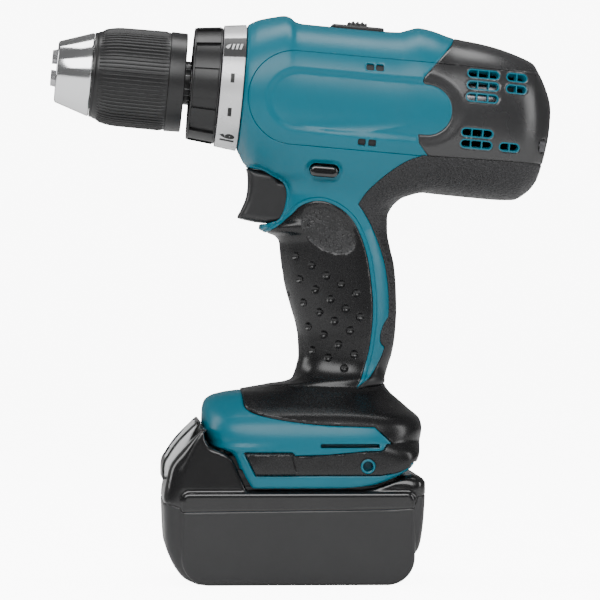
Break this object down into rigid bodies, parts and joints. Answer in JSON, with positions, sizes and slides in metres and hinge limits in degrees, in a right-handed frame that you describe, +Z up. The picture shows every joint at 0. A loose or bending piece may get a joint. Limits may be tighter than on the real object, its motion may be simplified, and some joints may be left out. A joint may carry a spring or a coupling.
{
  "type": "cordless drill",
  "caption": "Compact 18 V class drill driver with keyless three-jaw chuck, planetary gearbox, clutch ring, speed and reverse switches, and slide-in battery pack.",
  "frame": {"origin": "middle of the flat underside of the battery pack, on the surface that the drill stands on", "axes": "+Z up along the handle; the chuck points to -X, tilted 5 degrees nose-up; +X is the rear; -Y is the user's left side"},
  "size_m": [0.2175, 0.0794, 0.2453],
  "materials": {
    "housing_shell": "satin moulded teal-blue nylon",
    "smooth_grip": "smooth black elastomer",
    "rough_grip": "coarse textured dark rubber",
    "cover_plastic": "satin charcoal nylon",
    "chuck_plastic": "satin black nylon",
    "scale_band": "pale silver-white with black marks",
    "polished_steel": "polished",
    "machined_steel": "machined",
    "gear_steel": "sintered",
    "cast_case": "die cast",
    "motor_steel": "plated",
    "winding_copper": "enamelled copper and laminations",
    "inner_plastic": "moulded",
    "trigger_plastic": "satin black",
    "lever_plastic": "glossy black",
    "lens_plastic": "clear lens",
    "battery_plastic": "satin charcoal",
    "battery_gloss": "glossy black",
    "button_plastic": "light grey",
    "cell_wrap": "shrink wrap",
    "screw_steel": "black zinc"
  },
  "bodies": {
    "housing": {"housing_left": "housing_shell", "housing_right": "housing_shell", "grip_left": "smooth_grip", "grip_right": "smooth_grip", "back_grip_left": "rough_grip", "back_grip_right": "rough_grip", "rear_cover": "cover_plastic", "gear_case": "cast_case", "ring_gear": "gear_steel", "motor_can": "motor_steel", "brush_holder": "inner_plastic", "bearing_motor_front": "machined_steel", "bearing_motor_rear": "machined_steel", "bearing_spindle": "machined_steel", "switch_body": "inner_plastic", "lamp_lens": "lens_plastic", "terminal_block": "inner_plastic", "selector_frame": "trigger_plastic", "clutch_plate": "machined_steel", "clutch_spring": "machined_steel", "housing_screw_1": "screw_steel", "housing_screw_2": "screw_steel", "housing_screw_3": "screw_steel", "housing_screw_4": "screw_steel", "housing_screw_5": "screw_steel", "rear_screw_1": "screw_steel", "rear_screw_2": "screw_steel"},
    "chuck": {"spindle": "machined_steel", "chuck_body": "polished_steel", "carrier_2": "gear_steel"},
    "sleeve": {"chuck_sleeve": "chuck_plastic", "chuck_nut": "machined_steel"},
    "jaw_1": {"jaw_1": "machined_steel"},
    "jaw_2": {"jaw_2": "machined_steel"},
    "jaw_3": {"jaw_3": "machined_steel"},
    "motor": {"motor_shaft": "machined_steel", "rotor_core": "winding_copper", "commutator": "winding_copper", "fan": "inner_plastic", "sun_gear_1": "gear_steel"},
    "carrier_1": {"carrier_1": "gear_steel", "sun_gear_2": "gear_steel"},
    "torque_ring": {"torque_knob": "chuck_plastic", "torque_band": "scale_band"},
    "clutch_nut": {"clutch_nut": "machined_steel"},
    "selector": {"speed_selector": "trigger_plastic", "shift_fork": "machined_steel"},
    "trigger": {"trigger": "trigger_plastic", "trigger_plunger": "machined_steel"},
    "reverse_lever": {"reverse_lever": "lever_plastic"},
    "battery": {"battery_case": "battery_plastic", "battery_cover": "battery_gloss", "cell_pack": "cell_wrap"},
    "battery_button": {"battery_button": "button_plastic"},
    "planet_1a": {"planet_1a": "gear_steel"},
    "planet_1b": {"planet_1b": "gear_steel"},
    "planet_1c": {"planet_1c": "gear_steel"},
    "planet_2a": {"planet_2a": "gear_steel"},
    "planet_2b": {"planet_2b": "gear_steel"},
    "planet_2c": {"planet_2c": "gear_steel"}
  },
  "joints": [
    {"name": "chuck_spin", "type": "hinge", "parent": "housing", "child": "chuck", "pos_m": [-0.0215, 0, 0.2144], "axis": [-0.9962, 0, 0.0872], "continuous": true},
    {"name": "motor_spin", "type": "hinge", "parent": "housing", "child": "motor", "pos_m": [-0.0215, 0, 0.2144], "axis": [-0.9962, 0, 0.0872], "continuous": true},
    {"name": "carrier_1_spin", "type": "hinge", "parent": "housing", "child": "carrier_1", "pos_m": [-0.0215, 0, 0.2144], "axis": [-0.9962, 0, 0.0872], "continuous": true},
    {"name": "planet_1a_spin", "type": "hinge", "parent": "carrier_1", "child": "planet_1a", "pos_m": [0.02731, 0.012, 0.21013], "axis": [-0.9962, 0, 0.0872], "continuous": true},
    {"name": "planet_1b_spin", "type": "hinge", "parent": "carrier_1", "child": "planet_1b", "pos_m": [0.02822, -0.006, 0.22048], "axis": [-0.9962, 0, 0.0872], "continuous": true},
    {"name": "planet_1c_spin", "type": "hinge", "parent": "carrier_1", "child": "planet_1c", "pos_m": [0.02641, -0.006, 0.19978], "axis": [-0.9962, 0, 0.0872], "continuous": true},
    {"name": "planet_2a_spin", "type": "hinge", "parent": "chuck", "child": "planet_2a", "pos_m": [0.01516, 0.012, 0.21119], "axis": [-0.9962, 0, 0.0872], "continuous": true},
    {"name": "planet_2b_spin", "type": "hinge", "parent": "chuck", "child": "planet_2b", "pos_m": [0.01607, -0.006, 0.22154], "axis": [-0.9962, 0, 0.0872], "continuous": true},
    {"name": "planet_2c_spin", "type": "hinge", "parent": "chuck", "child": "planet_2c", "pos_m": [0.01425, -0.006, 0.20084], "axis": [-0.9962, 0, 0.0872], "continuous": true},
    {"name": "sleeve_turn", "type": "hinge", "parent": "chuck", "child": "sleeve", "pos_m": [-0.0469, 0, 0.21662], "axis": [-0.9962, 0, 0.0872], "range_deg": [-2093, 1447]},
    {"name": "jaw_1_slide", "type": "slide", "parent": "chuck", "child": "jaw_1", "axis": [-0.9781, 0, -0.2079], "range_m": [-0.01164, 0.00805]},
    {"name": "jaw_2_slide", "type": "slide", "parent": "chuck", "child": "jaw_2", "axis": [-0.9399, 0.2532, 0.229], "range_m": [-0.01164, 0.00805]},
    {"name": "jaw_3_slide", "type": "slide", "parent": "chuck", "child": "jaw_3", "axis": [-0.9399, -0.2532, 0.229], "range_m": [-0.01164, 0.00805]},
    {"name": "torque_turn", "type": "hinge", "parent": "housing", "child": "torque_ring", "pos_m": [-0.03146, 0, 0.21527], "axis": [-0.9962, 0, 0.0872], "range_deg": [0, 308]},
    {"name": "clutch_nut_slide", "type": "slide", "parent": "housing", "child": "clutch_nut", "axis": [0.9962, 0, -0.0872], "range_m": [0, 0.00305]},
    {"name": "selector_slide", "type": "slide", "parent": "housing", "child": "selector", "axis": [-0.9962, 0, 0.0872], "range_m": [-0.0042, 0.0042]},
    {"name": "trigger_pull", "type": "slide", "parent": "housing", "child": "trigger", "axis": [1, 0, 0], "range_m": [0, 0.007], "stiffness_N_per_m": 700, "springref_m": -0.004},
    {"name": "reverse_slide", "type": "slide", "parent": "housing", "child": "reverse_lever", "axis": [0, 1, 0], "range_m": [-0.0025, 0.0025]},
    {"name": "battery_slide", "type": "slide", "parent": "housing", "child": "battery", "axis": [-1, 0, 0], "range_m": [0, 0.1]},
    {"name": "button_press", "type": "slide", "parent": "battery", "child": "battery_button", "axis": [-0.6369, 0, -0.771], "range_m": [0, 0.004], "stiffness_N_per_m": 900, "springref_m": -0.003}
  ],
  "couplings": [
    {"joint": "motor_spin", "follows": "chuck_spin", "ratio": 16},
    {"joint": "carrier_1_spin", "follows": "chuck_spin", "ratio": 4},
    {"joint": "planet_1a_spin", "follows": "chuck_spin", "ratio": -12},
    {"joint": "planet_1b_spin", "follows": "chuck_spin", "ratio": -12},
    {"joint": "planet_1c_spin", "follows": "chuck_spin", "ratio": -12},
    {"joint": "planet_2a_spin", "follows": "chuck_spin", "ratio": -3},
    {"joint": "planet_2b_spin", "follows": "chuck_spin", "ratio": -3},
    {"joint": "planet_2c_spin", "follows": "chuck_spin", "ratio": -3},
    {"joint": "jaw_1_slide", "follows": "sleeve_turn", "m_per_rad": 0.00031831},
    {"joint": "jaw_2_slide", "follows": "sleeve_turn", "m_per_rad": 0.00031831},
    {"joint": "jaw_3_slide", "follows": "sleeve_turn", "m_per_rad": 0.00031831},
    {"joint": "clutch_nut_slide", "follows": "torque_turn", "m_per_rad": 0.00055808}
  ]
}
